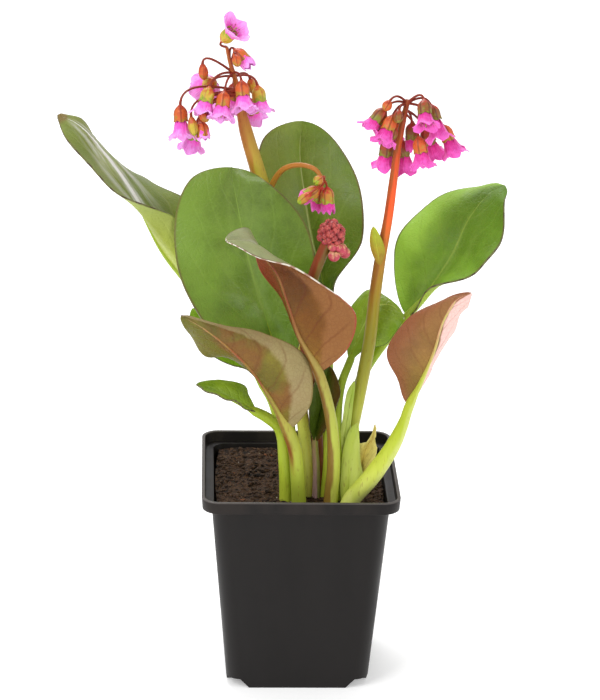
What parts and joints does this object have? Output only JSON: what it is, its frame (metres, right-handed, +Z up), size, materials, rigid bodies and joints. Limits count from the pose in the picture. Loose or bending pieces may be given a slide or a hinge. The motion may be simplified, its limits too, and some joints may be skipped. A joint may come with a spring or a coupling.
{
  "type": "potted flowering plant",
  "caption": "Bergenia with large leathery leaves and drooping heads of pink bell flowers, rooted in soil in a square black plastic nursery pot.",
  "frame": {"origin": "centre of the underside of the pot, on the surface it stands on", "axes": "+X to the right and -Y to the front as the picture shows it, +Z up, along the plant's height"},
  "size_m": [0.2472, 0.1433, 0.3791],
  "materials": {
    "pot_plastic": "satin, injection-moulded",
    "potting_soil": "loose moist bark and peat, rough",
    "flower_stalk_right": "smooth living stem, satin",
    "flower_stalk_left": "smooth living stem, satin",
    "flower_stalk_bud": "smooth living stem and buds, satin",
    "leaf_green": "leathery leaf, glossy above",
    "leaf_reddish": "leathery leaf seen from below, satin",
    "petals": "thin soft petal, matte",
    "dry_sheath": "dry papery leaf sheath, matte"
  },
  "bodies": {
    "root": {"pot": "pot_plastic", "soil": "potting_soil", "scape_right": "flower_stalk_right", "scape_left": "flower_stalk_left", "scape_bud": "flower_stalk_bud", "leaf_front_centre": "leaf_reddish", "leaf_front_right": "leaf_reddish", "leaf_front_left": "leaf_reddish", "leaf_low_left": "leaf_green", "leaf_inner_right": "leaf_green", "leaf_inner_small": "leaf_green", "leaf_big": "leaf_green", "leaf_low_back": "leaf_green", "leaf_right": "leaf_green", "leaf_back": "leaf_green", "leaf_far_left": "leaf_green", "dry_sheath": "dry_sheath", "bell_left_1": "petals", "bell_left_2": "petals", "bell_left_3": "petals", "bell_left_4": "petals", "bell_left_5": "petals", "bell_left_6": "petals", "bell_left_7": "petals", "bell_left_8": "petals", "bell_left_9": "petals", "bell_left_10": "petals", "bell_left_11": "petals", "bell_left_12": "petals", "bell_left_13": "petals", "bell_right_1": "petals", "bell_right_2": "petals", "bell_right_3": "petals", "bell_right_4": "petals", "bell_right_5": "petals", "bell_right_6": "petals", "bell_right_7": "petals", "bell_right_8": "petals", "bell_right_9": "petals", "bell_right_10": "petals", "bell_right_11": "petals", "bell_nodding_1": "petals", "bell_nodding_2": "petals", "bell_nodding_3": "petals"}
  },
  "joints": []
}
